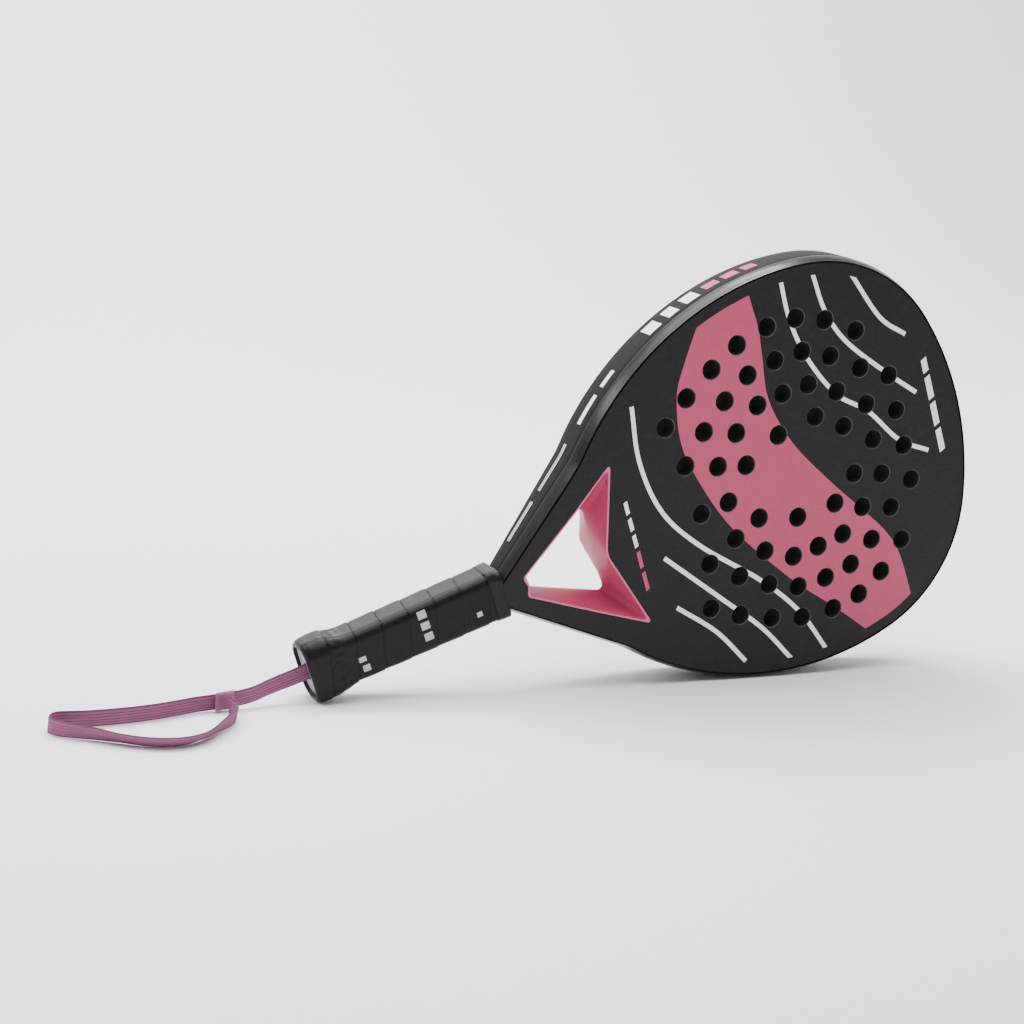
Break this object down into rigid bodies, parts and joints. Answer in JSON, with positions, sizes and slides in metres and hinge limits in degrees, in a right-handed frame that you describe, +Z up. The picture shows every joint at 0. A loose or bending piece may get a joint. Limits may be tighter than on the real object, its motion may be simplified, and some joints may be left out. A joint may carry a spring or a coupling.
{
  "type": "padel racket",
  "caption": "Teardrop padel racket with a perforated face, an open throat, a wrapped grip and a looped wrist cord, standing on its edge.",
  "frame": {"origin": "on the floor under the middle of the racket, cord left out", "axes": "+X along the floor from butt to head, +Y from the front face to the rear face, +Z up"},
  "size_m": [0.5984, 0.0881, 0.2657],
  "materials": {
    "rim_black": "satin moulded carbon with clear coat",
    "foam_white": "closed-cell foam",
    "core_foam": "soft closed-cell foam rubber, black",
    "face_black": "satin lacquer over woven laminate with printed pink and white graphics",
    "throat_pink": "lacquered pink",
    "band_black": "matt moulded band",
    "carbon": "bare carbon laminate",
    "pallet_resin": "moulded resin",
    "cushion_black": "foam-backed wrap",
    "grip_black": "tacky polyurethane tape",
    "collar_black": "rubber sleeve",
    "cap_black": "moulded rubber",
    "plate_grey": "matt moulded grey",
    "cord_mauve": "ribbed woven ribbon",
    "pin_steel": "plain steel"
  },
  "bodies": {
    "root": {"frame_tube": "rim_black", "frame_foam": "foam_white", "throat_bridge": "rim_black", "head_core": "core_foam", "face_front": "face_black", "face_rear": "face_black", "throat_liner": "throat_pink", "edge_band": "band_black", "handle_shaft": "carbon", "handle_core": "foam_white", "pallet_front": "pallet_resin", "pallet_rear": "pallet_resin", "cushion_grip": "cushion_black", "overgrip": "grip_black", "grip_collar": "collar_black", "butt_cap": "cap_black", "butt_plate": "plate_grey", "cord_knot": "cord_mauve", "cord_pin": "pin_steel", "cord_lead": "cord_mauve", "cord_loop": "cord_mauve", "cord_wrap": "cord_mauve"}
  },
  "joints": []
}
